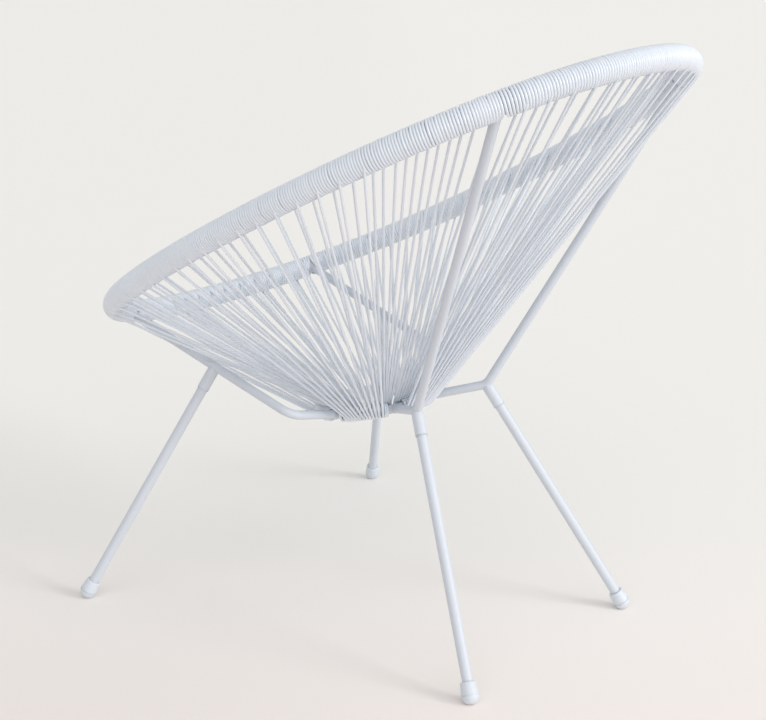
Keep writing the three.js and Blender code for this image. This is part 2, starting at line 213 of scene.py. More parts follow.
# Rim: one steel tube bent to an egg that leans back, wide in front and narrow behind.
# Its ends are welded together, and white powder paint covers it under the cord.
RIM_CENTRE = np.array((0.0, 0.0, 0.5973))
RIM_LEAN = math.radians(29.1)
RIM_WIDTH_TERM = 0.3537
RIM_TAPER_TERM = 0.0235
RIM_FLANK_TERM = 0.0103
RIM_LENGTH_TERM = 0.4515
RIM_END_TERM = -0.0102
RIM_TUBE_RADIUS = 0.0125
RIM_STEPS = 240
TUBE_SIDES = 28
LOOP_SAMPLES = 7200
SHARP_ANGLE = math.radians(50)
TONE_DETAIL = 3.0
PEEL_DETAIL = 2.0
PEEL_DEPTH = 0.0005
COAT_ROUGHNESS = 0.18
PAINT_COLOUR = (0.595, 0.63, 0.685, 1.0)
PAINT_ROUGHNESS = 0.48
PAINT_TONE = (7.0, 0.025)
PAINT_PEEL = (900.0, 0.05)
PAINT_COAT = 0.1


class LeaningLoop:
    """A flat closed line that leans back, measured along its length from its front middle."""

    def __init__(self, centre, lean, outline):
        turn = np.linspace(0, 2 * math.pi, LOOP_SAMPLES + 1)
        x, y = outline(turn)
        backward = np.array((0.0, math.cos(lean), math.sin(lean)))
        self.seat_side = np.array((0.0, -math.sin(lean), math.cos(lean)))
        self.points = centre + np.outer(x, (1.0, 0.0, 0.0)) + np.outer(y, backward)
        steps = np.linalg.norm(np.diff(self.points, axis=0), axis=1)
        self.reaches = np.concatenate(([0.0], np.cumsum(steps)))
        self.length = self.reaches[-1]
        slopes = (np.roll(self.points[:-1], -1, 0) - np.roll(self.points[:-1], 1, 0)) / 2
        self.slopes = np.vstack((slopes, slopes[:1]))

    def at(self, reach):
        """Centre, direction and inward direction at each reach along the loop."""
        reach = np.mod(np.atleast_1d(reach), self.length)
        centre = np.stack([np.interp(reach, self.reaches, self.points[:, i]) for i in range(3)], 1)
        along = np.stack([np.interp(reach, self.reaches, self.slopes[:, i]) for i in range(3)], 1)
        along /= np.linalg.norm(along, axis=1, keepdims=True)
        return centre, along, np.cross(self.seat_side, along)

    def at_one(self, reach):
        """Centre, direction and inward direction at one reach."""
        return tuple(rows[0] for rows in self.at(reach))

    def round(self, reach, turn, radius):
        """Points at a turn about the loop's line: 0 is inward and a quarter turn the seat side."""
        centre, _, inward = self.at(reach)
        radius = np.broadcast_to(radius, np.shape(turn))[:, None]
        outward = np.cos(turn)[:, None] * inward + np.sin(turn)[:, None] * self.seat_side
        return centre + radius * outward, outward


def rim_outline(turn):
    """The rim's egg in its own plane, x to the sitter's left and y to the back."""
    x = RIM_WIDTH_TERM * np.sin(turn) + RIM_TAPER_TERM * np.sin(2 * turn)
    x += RIM_FLANK_TERM * np.sin(3 * turn)
    y = -RIM_LENGTH_TERM * np.cos(turn) + RIM_END_TERM * (np.cos(2 * turn) - 1)
    return x, y


def unit(vectors):
    """Vectors scaled to length one."""
    return vectors / np.linalg.norm(vectors, axis=-1, keepdims=True)


def sweep(points, across, radius, sides, closed=False, flatness=2.0):
    """The vertices and faces of a tube along points; across is where its first side lies.
    Its section is round, or squarer where flatness is over two."""
    if closed:
        along = unit(np.roll(points, -1, 0) - np.roll(points, 1, 0))
    else:
        along = unit(np.gradient(points, axis=0))
    across = unit(across - np.sum(across * along, axis=1, keepdims=True) * along)
    up = np.cross(along, across)
    turn = 2 * math.pi * np.arange(sides) / sides
    cos = np.cos(turn)[None, :, None]
    sin = np.sin(turn)[None, :, None]
    squareness = (np.abs(cos) ** flatness + np.abs(sin) ** flatness) ** (-1 / flatness)
    radius = np.broadcast_to(radius, len(points))[:, None, None] * squareness
    arms = cos * across[:, None] + sin * up[:, None]
    vertices = (points[:, None] + radius * arms).reshape(-1, 3)
    count = len(points)
    ring = np.arange(count if closed else count - 1)[:, None] * sides
    side = np.arange(sides)[None]
    next_ring = (ring + sides) % (count * sides)
    next_side = (side + 1) % sides
    faces = np.stack((ring + side, ring + next_side, next_ring + next_side, next_ring + side), -1)
    faces = [tuple(face) for face in faces.reshape(-1, 4).tolist()]
    if not closed:
        faces.append(tuple(reversed(range(sides))))
        faces.append(tuple(range((count - 1) * sides, count * sides)))
    return vertices, faces


def add_piece(name, shapes, material, node):
    """One object from several shapes, smooth but for its sharp edges, in place of a CAD node."""
    vertices = []
    faces = []
    for shape_vertices, shape_faces in shapes:
        start = len(vertices)
        vertices.extend(shape_vertices.tolist())
        faces.extend([tuple(start + corner for corner in face) for face in shape_faces])
    mesh = bpy.data.meshes.new(name)
    mesh.from_pydata(vertices, [], faces)
    mesh.shade_smooth()
    mesh.set_sharp_from_angle(angle=SHARP_ANGLE)
    mesh.materials.append(material)
    piece = bpy.data.objects.new(name, mesh)
    bpy.context.scene.collection.objects.link(piece)
    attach(piece, "root")
    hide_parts(node)


def make_surface_group():
    """Shared fine surface: a slow change of tone, and a fine peel or grain as a height.
    Where the tone is lighter the surface is smoother too."""
    group = bpy.data.node_groups.new("fine_surface", "ShaderNodeTree")
    for name, kind in (
        ("Colour", "NodeSocketColor"),
        ("Tone Scale", "NodeSocketFloat"),
        ("Tone Share", "NodeSocketFloat"),
        ("Roughness", "NodeSocketFloat"),
        ("Peel Scale", "NodeSocketFloat"),
    ):
        group.interface.new_socket(name, in_out="INPUT", socket_type=kind)
    for name, kind in (
        ("Colour", "NodeSocketColor"),
        ("Roughness", "NodeSocketFloat"),
        ("Height", "NodeSocketFloat"),
    ):
        group.interface.new_socket(name, in_out="OUTPUT", socket_type=kind)
    nodes = group.nodes
    links = group.links
    given = nodes.new("NodeGroupInput")
    result = nodes.new("NodeGroupOutput")
    place = nodes.new("ShaderNodeTexCoord")
    tone = nodes.new("ShaderNodeTexNoise")
    tone.inputs["Detail"].default_value = TONE_DETAIL
    # From 0 to 1 into -1 to 1, and then into a factor close to 1.
    spread = nodes.new("ShaderNodeMath")
    spread.operation = "MULTIPLY_ADD"
    spread.inputs[1].default_value = 2.0
    spread.inputs[2].default_value = -1.0
    amount = nodes.new("ShaderNodeMath")
    amount.operation = "MULTIPLY_ADD"
    amount.inputs[2].default_value = 1.0
    shade = nodes.new("ShaderNodeVectorMath")
    shade.operation = "SCALE"
    rough = nodes.new("ShaderNodeMath")
    rough.operation = "DIVIDE"
    peel = nodes.new("ShaderNodeTexNoise")
    peel.inputs["Detail"].default_value = PEEL_DETAIL
    links.new(place.outputs["Object"], tone.inputs["Vector"])
    links.new(place.outputs["Object"], peel.inputs["Vector"])
    links.new(given.outputs["Tone Scale"], tone.inputs["Scale"])
    links.new(given.outputs["Peel Scale"], peel.inputs["Scale"])
    links.new(tone.outputs["Fac"], spread.inputs[0])
    links.new(spread.outputs["Value"], amount.inputs[0])
    links.new(given.outputs["Tone Share"], amount.inputs[1])
    links.new(given.outputs["Colour"], shade.inputs[0])
    links.new(amount.outputs["Value"], shade.inputs["Scale"])
    links.new(given.outputs["Roughness"], rough.inputs[0])
    links.new(amount.outputs["Value"], rough.inputs[1])
    links.new(shade.outputs["Vector"], result.inputs["Colour"])
    links.new(rough.outputs["Value"], result.inputs["Roughness"])
    links.new(peel.outputs["Fac"], result.inputs["Height"])
    return group


fine_surface = make_surface_group()


def surface_material(name, colour, roughness, tone, peel, coat=0.0):
    """A material on the shared fine surface; tone and peel are (scale, amount)."""
    material = bpy.data.materials.new(name)
    material.use_nodes = True
    nodes = material.node_tree.nodes
    links = material.node_tree.links
    shader = nodes["Principled BSDF"]
    shader.inputs["Coat Weight"].default_value = coat
    shader.inputs["Coat Roughness"].default_value = COAT_ROUGHNESS
    surface = nodes.new("ShaderNodeGroup")
    surface.node_tree = fine_surface
    surface.inputs["Colour"].default_value = colour
    surface.inputs["Tone Scale"].default_value = tone[0]
    surface.inputs["Tone Share"].default_value = tone[1]
    surface.inputs["Roughness"].default_value = roughness
    surface.inputs["Peel Scale"].default_value = peel[0]
    bump = nodes.new("ShaderNodeBump")
    bump.inputs["Strength"].default_value = peel[1]
    bump.inputs["Distance"].default_value = PEEL_DEPTH
    links.new(surface.outputs["Colour"], shader.inputs["Base Color"])
    links.new(surface.outputs["Roughness"], shader.inputs["Roughness"])
    links.new(surface.outputs["Height"], bump.inputs["Height"])
    links.new(bump.outputs["Normal"], shader.inputs["Normal"])
    return material


def hoop(line, radius, steps):
    """A closed tube along a loop."""
    centre, _, inward = line.at(line.length * np.arange(steps) / steps)
    return sweep(centre, inward, radius, TUBE_SIDES, closed=True)


powder_paint = surface_material(
    "powder_paint", PAINT_COLOUR, PAINT_ROUGHNESS, PAINT_TONE, PAINT_PEEL, PAINT_COAT
)
rim_line = LeaningLoop(RIM_CENTRE, RIM_LEAN, rim_outline)
rim_shape = hoop(rim_line, RIM_TUBE_RADIUS, RIM_STEPS)
add_piece("rim_hoop", [rim_shape], powder_paint, "rim_tube")

# Seat ring: a small hoop of the same painted tube, low under the seat.
# Every strand of the cord comes down to it and turns round it.
RING_CENTRE = np.array((0.0, -0.0307, 0.2906))
RING_LEAN = math.radians(12.2)
RING_RADIUS = 0.080
RING_TUBE_RADIUS = 0.00635
RING_STEPS = 96


def ring_outline(turn):
    """The seat ring's circle in its own plane."""
    return RING_RADIUS * np.sin(turn), -RING_RADIUS * np.cos(turn)


ring_line = LeaningLoop(RING_CENTRE, RING_LEAN, ring_outline)
ring_shape = hoop(ring_line, RING_TUBE_RADIUS, RING_STEPS)
add_piece("ring_hoop", [ring_shape], powder_paint, "seat_ring")

# Spokes: four tubes bent once on a round die, welded to the rim and to the seat ring.
# A low bead of weld, painted over, goes round each end.
SPOKE_RADIUS = 0.00635
SPOKE_BEND_RADIUS = 0.020
SPOKE_BEND_STEPS = 24
FRONT_SPOKE_REACH = 0.207
BACK_SPOKE_REACH = 0.2285
FRONT_BEND = np.array((0.179, -0.0295, 0.315))
BACK_BEND = np.array((0.0788, 0.1105, 0.3295))
FRONT_STUB_TURN = math.radians(88)
BACK_STUB_TURN = math.radians(151)
WELD_RADIUS = 0.0011
WELD_SIDES = 10
WELD_STEPS = 72
WELD_RIPPLES = 17
WELD_RIPPLE_HEIGHT = 0.00012
SADDLE_SHARE = 0.97
SADDLE_RADIUS = SPOKE_RADIUS * SADDLE_SHARE
SIDES = {"left": 1.0, "right": -1.0}


def on_side(point, side):
    """A point named on the sitter's left, on the side asked for."""
    return point * np.array((side, 1.0, 1.0))


def bent_route(start, corner, end):
    """The points of two straight runs with a round bend between them, and the bend's middle."""
    into = unit(corner - start)
    out = unit(end - corner)
    turn = math.acos(float(into @ out))
    setback = SPOKE_BEND_RADIUS * math.tan(turn / 2)
    hinge = unit(np.cross(into, out))
    arm = np.cross(into, hinge)
    centre = corner - setback * into - SPOKE_BEND_RADIUS * arm
    angles = turn * np.arange(SPOKE_BEND_STEPS + 1) / SPOKE_BEND_STEPS
    arms = np.outer(np.cos(angles), arm) + np.outer(np.sin(angles), into)
    bend = centre + SPOKE_BEND_RADIUS * arms
    return np.vstack((start[None], bend, end[None])), bend[SPOKE_BEND_STEPS // 2]


def weld_bead(host_direction, host_radius, point, tube_direction, tube_radius):
    """A rippled bead where a tube that runs along tube_direction meets a host tube's surface.
    Both middle lines pass through point, and tube_radius is under host_radius."""
    reference = np.cross(host_direction, tube_direction)
    first = unit(reference - (reference @ tube_direction) * tube_direction)
    second = np.cross(tube_direction, first)
    turn = 2 * math.pi * np.arange(WELD_STEPS) / WELD_STEPS
    offset = tube_radius * (np.outer(np.cos(turn), first) + np.outer(np.sin(turn), second))
    # How far along the tube each point of its wall comes out of the host.
    flat_offset = offset - np.outer(offset @ host_direction, host_direction)
    flat_run = tube_direction - (tube_direction @ host_direction) * host_direction
    a = flat_run @ flat_run
    b = flat_offset @ flat_run
    c = np.sum(flat_offset * flat_offset, axis=1) - host_radius**2
    reach = (-b + np.sqrt(np.maximum(b * b - a * c, 0.0))) / a
    line = point + offset + np.outer(reach, tube_direction)
    ripple = WELD_RADIUS + WELD_RIPPLE_HEIGHT * np.sin(WELD_RIPPLES * turn)
    return sweep(line, line - point, ripple, WELD_SIDES, closed=True)


spoke_routes = {}
for end, reach, bend, stub in (
    ("front", FRONT_SPOKE_REACH, FRONT_BEND, FRONT_STUB_TURN),
    ("back", rim_line.length / 2 - BACK_SPOKE_REACH, BACK_BEND, BACK_STUB_TURN),
):
    left_start, _, _ = rim_line.at_one(reach)
    left_end, _, _ = ring_line.at_one(ring_line.length * stub / (2 * math.pi))
    for side_name, side in SIDES.items():
        corner = f"{end}_{side_name}"
        ends = (on_side(point, side) for point in (left_start, bend, left_end))
        route, bend_middle = bent_route(*ends)
        spoke_routes[corner] = (route, bend_middle)
        rim_reach = reach if side > 0 else rim_line.length - reach
        ring_turn = stub if side > 0 else 2 * math.pi - stub
        rim_point, rim_along, _ = rim_line.at_one(rim_reach)
        ring_point, ring_along, _ = ring_line.at_one(ring_line.length * ring_turn / (2 * math.pi))
        down = unit(route[1] - route[0])
        back_up = unit(route[-2] - route[-1])
        reference = np.broadcast_to(np.cross(down, back_up), route.shape)
        shapes = [
            sweep(route, reference, SPOKE_RADIUS, TUBE_SIDES),
            weld_bead(rim_along, RIM_TUBE_RADIUS, rim_point, down, SPOKE_RADIUS),
            weld_bead(ring_along, RING_TUBE_RADIUS, ring_point, back_up, SADDLE_RADIUS),
        ]
        add_piece(f"bent_spoke_{corner}", shapes, powder_paint, f"spoke_{corner}")

# Leg sockets: short sleeves of wider tube with rounded shoulders, welded under the spokes.
# A threaded bush closes each one inside at its top, and the leg's stud screws into it.
FRONT_SOCKET_RUN = 0.1816
FRONT_FOOT = np.array((0.3203, -0.307, 0.0))
BACK_FOOT = np.array((0.1832, 0.2938, 0.0))
LEG_RADIUS = 0.00725
SOCKET_RADIUS = 0.0084
SOCKET_REACH = 0.037
SOCKET_LIP = 0.0004
SEAM_WIDTH = 0.0013
SEAM_DEPTH = 0.0009
SOCKET_SHOULDER = 0.011
SHOULDER_FLATNESS = 2.6
SHOULDER_STEPS = 10
LEG_INSERT = 0.020
FOOT_RADIUS = 0.01175
FOOT_FLAT_RADIUS = 0.004
FIT_GAP = 0.0003
LATHE_SIDES = 48


def turned(profile, base, direction):
    """A closed turned piece from (radius, height) pairs that start and end on its axis."""
    side = unit(np.cross(direction, (1.0, 0.0, 0.0)))
    other = np.cross(direction, side)
    turn = 2 * math.pi * np.arange(LATHE_SIDES) / LATHE_SIDES
    arms = np.outer(np.cos(turn), side) + np.outer(np.sin(turn), other)
    vertices = [base + profile[0][1] * direction]
    for radius, height in profile[1:-1]:
        vertices.extend(base + height * direction + radius * arms)
    vertices.append(base + profile[-1][1] * direction)
    rings = len(profile) - 2
    last = len(vertices) - 1
    faces = []
    for k in range(LATHE_SIDES):
        n = (k + 1) % LATHE_SIDES
        faces.append((0, 1 + n, 1 + k))
        faces.append((last, 1 + (rings - 1) * LATHE_SIDES + k, 1 + (rings - 1) * LATHE_SIDES + n))
        for ring in range(rings - 1):
            low = 1 + ring * LATHE_SIDES
            high = low + LATHE_SIDES
            faces.append((low + k, low + n, high + n, high + k))
    return np.array(vertices), faces


def socket_profile():
    """The sleeve's outline from its bush, down its bore, past its seam and over its shoulder."""
    shoulder = [
        (
            SOCKET_RADIUS * (1 - share**SHOULDER_FLATNESS) ** (1 / SHOULDER_FLATNESS),
            SOCKET_REACH - SOCKET_SHOULDER * (1 - share),
        )
        for share in np.linspace(0.0, 1.0, SHOULDER_STEPS, endpoint=False)
    ]
    return [
        (0.0, LEG_INSERT),
        (LEG_RADIUS + FIT_GAP, LEG_INSERT),
        (LEG_RADIUS + FIT_GAP, SOCKET_LIP),
        (LEG_RADIUS + FIT_GAP + SOCKET_LIP / 2, 0.0),
        (SOCKET_RADIUS, 0.0),
        (SOCKET_RADIUS, SOCKET_LIP),
        (SOCKET_RADIUS - SEAM_DEPTH, SOCKET_LIP),
        (SOCKET_RADIUS - SEAM_DEPTH, SOCKET_LIP + SEAM_WIDTH),
        (SOCKET_RADIUS, SOCKET_LIP + SEAM_WIDTH),
        *shoulder,
        (0.0, SOCKET_REACH),
    ]


leg_lines = {}
foot_height = math.sqrt(FOOT_RADIUS**2 - FOOT_FLAT_RADIUS**2)
for corner, (route, bend_middle) in spoke_routes.items():
    end, side_name = corner.split("_")
    if end == "front":
        spoke_run = unit(route[1] - route[0])
        top = route[0] + FRONT_SOCKET_RUN * spoke_run
    else:
        spoke_run = unit(route[-1] - route[-2])
        top = bend_middle
    foot = on_side(FRONT_FOOT if end == "front" else BACK_FOOT, SIDES[side_name])
    ball = foot + np.array((0.0, 0.0, foot_height))
    up_leg = unit(top - ball)
    mouth = top - SOCKET_REACH * up_leg
    leg_lines[corner] = (ball, mouth, up_leg)
    shapes = [
        turned(socket_profile(), mouth, up_leg),
        weld_bead(spoke_run, SPOKE_RADIUS, top, -up_leg, SADDLE_RADIUS),
    ]
    add_piece(f"socket_{corner}", shapes, powder_paint, f"leg_socket_{corner}")

# Legs: straight tubes a little thicker than the spokes, splayed outwards.
# One plain end goes up into the socket, and the other stands in the foot cap.
FOOT_SLEEVE = 0.018
FOOT_BORE = 0.016
LEG_STEPS = 9
for corner, (ball, mouth, up_leg) in leg_lines.items():
    low = ball + (FOOT_SLEEVE - FOOT_BORE + FIT_GAP) * up_leg
    high = mouth + (LEG_INSERT - FIT_GAP) * up_leg
    line = low + np.outer(np.linspace(0.0, 1.0, LEG_STEPS), high - low)
    reference = np.broadcast_to(np.array((1.0, 0.0, 0.0)), line.shape)
    shape = sweep(line, reference, LEG_RADIUS, TUBE_SIDES)
    add_piece(f"leg_tube_{corner}", [shape], powder_paint, f"leg_{corner}")

# Leg studs: zinc plated screws plugged in the legs' tops, hidden inside the sockets.
# They keep their own solids and take a dull plated finish.
ZINC_COLOUR = (0.62, 0.64, 0.66, 1.0)
ZINC_ROUGHNESS = 0.35
ZINC_TONE = (60.0, 0.08)
ZINC_GRAIN = (1500.0, 0.05)
zinc_plate = surface_material("zinc_plate", ZINC_COLOUR, ZINC_ROUGHNESS, ZINC_TONE, ZINC_GRAIN)
zinc_plate.node_tree.nodes["Principled BSDF"].inputs["Metallic"].default_value = 1.0
for corner in leg_lines:
    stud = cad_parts[f"leg_stud_{corner}"]
    stud.data.materials.clear()
    stud.data.materials.append(zinc_plate)

# Foot caps: moulded white plastic, pushed over the legs' ends, with a round dome below.
# The sleeve widens downwards to a fine groove above the dome, and the dome stands on a small flat.
FOOT_COLOUR = (0.63, 0.67, 0.72, 1.0)
FOOT_ROUGHNESS = 0.42
FOOT_TONE = (25.0, 0.03)
FOOT_GRAIN = (1400.0, 0.12)
FOOT_LIP = 0.0016
FOOT_SLEEVE_TAPER = 0.0013
FOOT_MOUTH_GAP = 0.0001
FOOT_MOUTH_DROP = 0.0004
PARTING_WIDTH = 0.0012
PARTING_DEPTH = 0.0009
DOME_STEPS = 14
LIP_STEPS = 4


def foot_profile():
    """The cap's outline from the middle of its dome, up its sleeve and down its bore."""
    start = math.asin(FOOT_FLAT_RADIUS / FOOT_RADIUS)
    angles = np.linspace(start, math.pi / 2, DOME_STEPS)
    dome = [(FOOT_RADIUS * math.sin(a), -FOOT_RADIUS * math.cos(a)) for a in angles]
    sleeve_top = FOOT_RADIUS - FOOT_SLEEVE_TAPER
    parting = [
        (FOOT_RADIUS - PARTING_DEPTH, 0.0),
        (FOOT_RADIUS - PARTING_DEPTH, PARTING_WIDTH),
        (FOOT_RADIUS, PARTING_WIDTH),
    ]
    turns = np.linspace(0.0, math.pi / 2, LIP_STEPS)
    lip = [
        (sleeve_top - FOOT_LIP * (1 - math.cos(a)), FOOT_SLEEVE - FOOT_LIP * (1 - math.sin(a)))
        for a in turns
    ]
    mouth = LEG_RADIUS + FOOT_MOUTH_GAP
    bore_floor = FOOT_SLEEVE - FOOT_BORE
    bore = [(mouth, FOOT_SLEEVE - FOOT_MOUTH_DROP), (mouth, bore_floor)]
    return [(0.0, -foot_height), *dome, *parting, *lip, *bore, (0.0, bore_floor)]


moulded_plastic = surface_material(
    "moulded_plastic", FOOT_COLOUR, FOOT_ROUGHNESS, FOOT_TONE, FOOT_GRAIN
)
for corner, (ball, _, up_leg) in leg_lines.items():
    vertices, faces = turned(foot_profile(), ball, up_leg)
    vertices[:, 2] = np.maximum(vertices[:, 2], 0.0)
    shape = (vertices, faces)
    add_piece(f"foot_{corner}", [shape], moulded_plastic, f"foot_cap_{corner}")

# Cord: smooth white plastic cord, wound by hand in close turns round the rim.
# Every few turns a strand runs down to the seat ring, round it and back up.
# The plastic lets a little light in, and the turns part where a spoke is welded on.
CORD_RADIUS = 0.002
TAUT_RADIUS = 0.0018
WOUND_RADIUS = 0.00188
WOUND_FLATNESS = 2.2
WOUND_SIDES = 12
CORD_SIDES = 8
CORD_COLOUR = (0.71, 0.752, 0.812, 1.0)
CORD_ROUGHNESS = 0.3
CORD_TONE = (18.0, 0.035)
CORD_GRAIN = (700.0, 0.04)
CORD_COAT = 0.25
CORD_GLOW = 0.2
CORD_GLOW_DEPTH = 0.001

# Where the strands leave the rim and come to the ring.
SPOKE_ROOM = 0.005
STUB_SKIP = 0.0022
STRAND_PITCH = 0.0148
FRONT_FAN_REACH = 0.383
FRONT_FAN_TURN = math.radians(86)
FRONT_OUTER_REACH = 0.320
FRONT_STUB_MARGIN = math.radians(14)
BACK_STUB_MARGIN = math.radians(12)
STUB_SIDE = math.radians(6.5)

# The winding's turns, and how unevenly a hand lays them.
WINDING_PITCH = 0.0037
PHASE_SHARE = 0.9
WINDING_STEPS = 20
PLACE_JITTER = 0.0002
TURN_JITTER = math.radians(0.5)
SPACING_JITTER_SHARE = 0.03
GAP_CHANCE = 0.17
GAP_SHARE = 0.22
RADIUS_JITTER = 0.00018
CHANCE_SEED = 11

# How far the turns part at a spoke and at a strand.
SPOKE_PUSH = 0.0084
SPOKE_PUSH_REACH = 0.034
SPOKE_PUSH_FOCUS = 5.0
STRAND_PUSH = 0.0009
STRAND_PUSH_REACH = 0.0075
STRAND_PUSH_FOCUS = 8.0

# How a strand's ends curl round the rim and the ring.
STRAND_LIFT = 0.0008
STRAND_SINK = 0.0014
CURL_TURN = math.radians(34)
CURL_LEAST_ROUND = 0.3
CURL_STEPS = 8
STRAND_STEPS = 10

chance = np.random.RandomState(CHANCE_SEED)
rim_wound_radius = RIM_TUBE_RADIUS + FIT_GAP + CORD_RADIUS
ring_wound_radius = RING_TUBE_RADIUS + FIT_GAP + CORD_RADIUS
cord_plastic = surface_material(
    "cord_plastic", CORD_COLOUR, CORD_ROUGHNESS, CORD_TONE, CORD_GRAIN, CORD_COAT
)
cord_shader = cord_plastic.node_tree.nodes["Principled BSDF"]
cord_shader.inputs["Subsurface Weight"].default_value = CORD_GLOW
cord_shader.inputs["Subsurface Radius"].default_value = (1.0, 1.0, 1.0)
cord_shader.inputs["Subsurface Scale"].default_value = CORD_GLOW_DEPTH

half_rim = rim_line.length / 2
spoke_reaches = [
    FRONT_SPOKE_REACH,
    half_rim - BACK_SPOKE_REACH,
    half_rim + BACK_SPOKE_REACH,
    rim_line.length - FRONT_SPOKE_REACH,
]


def fanned_turn(reach):
    """Where round the ring a strand lands for its reach on the rim, hopping over the stubs."""
    room = STUB_SKIP / RING_RADIUS
    if reach < FRONT_FAN_REACH:
        turn = FRONT_FAN_TURN * reach / FRONT_FAN_REACH
    else:
        rest = math.pi - 4 * room - FRONT_FAN_TURN
        turn = FRONT_FAN_TURN + rest * (reach - FRONT_FAN_REACH) / (half_rim - FRONT_FAN_REACH)
    for stub_turn in (FRONT_STUB_TURN, BACK_STUB_TURN):
        if turn > stub_turn - room:
            turn += 2 * room
    return turn


def strand_sides(reach, turn, is_even):
    """Whether a strand lies on the seat side at the rim and at the ring.
    Every second one does, and so does one that passes over a spoke or beside a stub."""
    past_front = reach > FRONT_SPOKE_REACH
    before_back = reach < half_rim - BACK_SPOKE_REACH
    crosses_front = past_front and turn < FRONT_STUB_TURN + FRONT_STUB_MARGIN
    crosses_back = before_back and turn > BACK_STUB_TURN - BACK_STUB_MARGIN
    beside_stub = min(abs(turn - FRONT_STUB_TURN), abs(turn - BACK_STUB_TURN)) < STUB_SIDE
    top = is_even or crosses_back or (past_front and reach < FRONT_OUTER_REACH)
    return top, is_even or crosses_back or crosses_front or beside_stub


# The stretches of rim between the spokes, with the names of the sections that each is split in.
bays = [
    (["front_right", "front_left"], spoke_reaches[3] - rim_line.length, spoke_reaches[0]),
    (["left_1", "left_2", "left_3", "left_4"], spoke_reaches[0], spoke_reaches[1]),
    (["back_left", "back_right"], spoke_reaches[1], spoke_reaches[2]),
    (["right_4", "right_3", "right_2", "right_1"], spoke_reaches[2], spoke_reaches[3]),
]


def face_turn(line, reach, run, inside):
    """The turn about a loop's line at which a strand that runs along run touches it."""
    _, along, inward = line.at_one(reach)
    face = unit(np.cross(along, run)) * (1 if inside else -1)
    return math.atan2(face @ line.seat_side, face @ inward)


def make_strands(start, end):
    """The strands of one bay: where each leaves the rim and meets the ring, and on which face."""
    room = SPOKE_RADIUS + SPOKE_ROOM + CORD_RADIUS
    span = end - start - 2 * room
    count = 2 * round(span / STRAND_PITCH / 2)
    strands = []
    for index in range(count):
        place = start + room + span * index / (count - 1)
        reach = min(place % rim_line.length, -place % rim_line.length)
        turn = fanned_turn(reach)
        top_inside, bottom_inside = strand_sides(reach, turn, index % 2 == 0)
        turn *= 1 if place % rim_line.length < half_rim else -1
        turn += chance.uniform(-TURN_JITTER, TURN_JITTER)
        ring_reach = RING_RADIUS * turn % ring_line.length
        run = unit(ring_line.at_one(ring_reach)[0] - rim_line.at_one(place)[0])
        rim_face = face_turn(rim_line, place, run, top_inside)
        if 0 < index < count - 1:
            # A strand leaves the winding where a turn comes round to its face.
            misfit = (place / WINDING_PITCH + rim_face / (2 * math.pi) + 0.5) % 1.0 - 0.5
            jitter = chance.uniform(-PLACE_JITTER, PLACE_JITTER)
            place -= PHASE_SHARE * misfit * WINDING_PITCH + jitter
        ring_face = face_turn(ring_line, ring_reach, run, bottom_inside)
        strands.append(
            {
                "rim": (place, rim_face),
                "ring": (ring_reach, ring_face),
                "run": run,
                "on_seat_side": top_inside,
            }
        )
    return strands


def parted(reach, turn):
    """Turns of the rim's winding pushed apart at each of the partings."""
    pushed = np.array(reach, dtype=float)
    for place, knot_turn, push, push_reach, focus in partings:
        offset = np.mod(reach - place + half_rim, rim_line.length) - half_rim
        near = np.clip(1 - np.abs(offset) / push_reach, 0.0, None)
        facing = (0.5 + 0.5 * np.cos(turn - knot_turn)) ** focus
        pushed += np.where(offset >= 0, 1.0, -1.0) * push * near * facing
    return pushed


def wind(knots):
    """Turns wound between knots of (reach, turn): arrays of reach and turn along the cord.
    They are spaced a little unevenly, and here and there one stands off from the next."""
    reaches = []
    turns = []
    turn = knots[0][1]
    for (start, start_turn), (end, end_turn) in zip(knots, knots[1:]):
        part = ((start_turn - end_turn) / (2 * math.pi)) % 1.0
        whole = max(0, round((end - start) / WINDING_PITCH - part))
        total = whole + part
        inner_marks = np.arange(1, whole + 1) / total if whole else []
        marks = np.concatenate(([0.0], inner_marks, [1.0]))
        widths = 1 + chance.uniform(-SPACING_JITTER_SHARE, SPACING_JITTER_SHARE, whole + 1)
        if whole > 2 and chance.uniform() < GAP_CHANCE:
            widths[chance.randint(1, whole)] += GAP_SHARE
        spans = np.diff(marks) * widths
        places = np.concatenate(([0.0], np.cumsum(spans))) / spans.sum()
        share = np.linspace(0.0, 1.0, max(2, round(total * WINDING_STEPS)), endpoint=False)
        spaced = np.interp(share, marks, places)
        reaches.append(start + (end - start) * spaced)
        turns.append(turn - 2 * math.pi * total * share)
        turn -= 2 * math.pi * total
    reaches.append(np.array([knots[-1][0]]))
    turns.append(np.array([turn]))
    return np.concatenate(reaches), np.concatenate(turns)


def round_tangent(line, reach, face):
    """The way round a loop's line, towards growing turn, where a strand touches it."""
    _, _, inward = line.at_one(reach)
    return -math.sin(face) * inward + math.cos(face) * line.seat_side


def curl(line, reach, face, away, wound_radius, push):
    """The end of a strand: from its straight run on to the loop and down among the turns."""
    _, along, _ = line.at_one(reach)
    onward = -away
    tangent = round_tangent(line, reach, face)
    way = 1.0 if onward @ tangent > 0 else -1.0
    slant = (onward @ along) / max(abs(onward @ tangent), CURL_LEAST_ROUND)
    share = np.linspace(0.0, 1.0, CURL_STEPS + 1)
    turn = face + way * CURL_TURN * share
    # It slides on the way that it came, slower and slower, and sinks in among the turns.
    slide = share - share**3 + share**4 / 2
    spread = slant * wound_radius * CURL_TURN
    place = reach + spread * (slide - 0.5) - (turn - face) * WINDING_PITCH / (2 * math.pi)
    lift = STRAND_LIFT - (STRAND_LIFT + STRAND_SINK) * share**2 * (3 - 2 * share)
    if push:
        place = parted(place, turn)
    points, _ = line.round(place, turn, wound_radius + lift)
    _, references, _ = line.at(place)
    return points, references


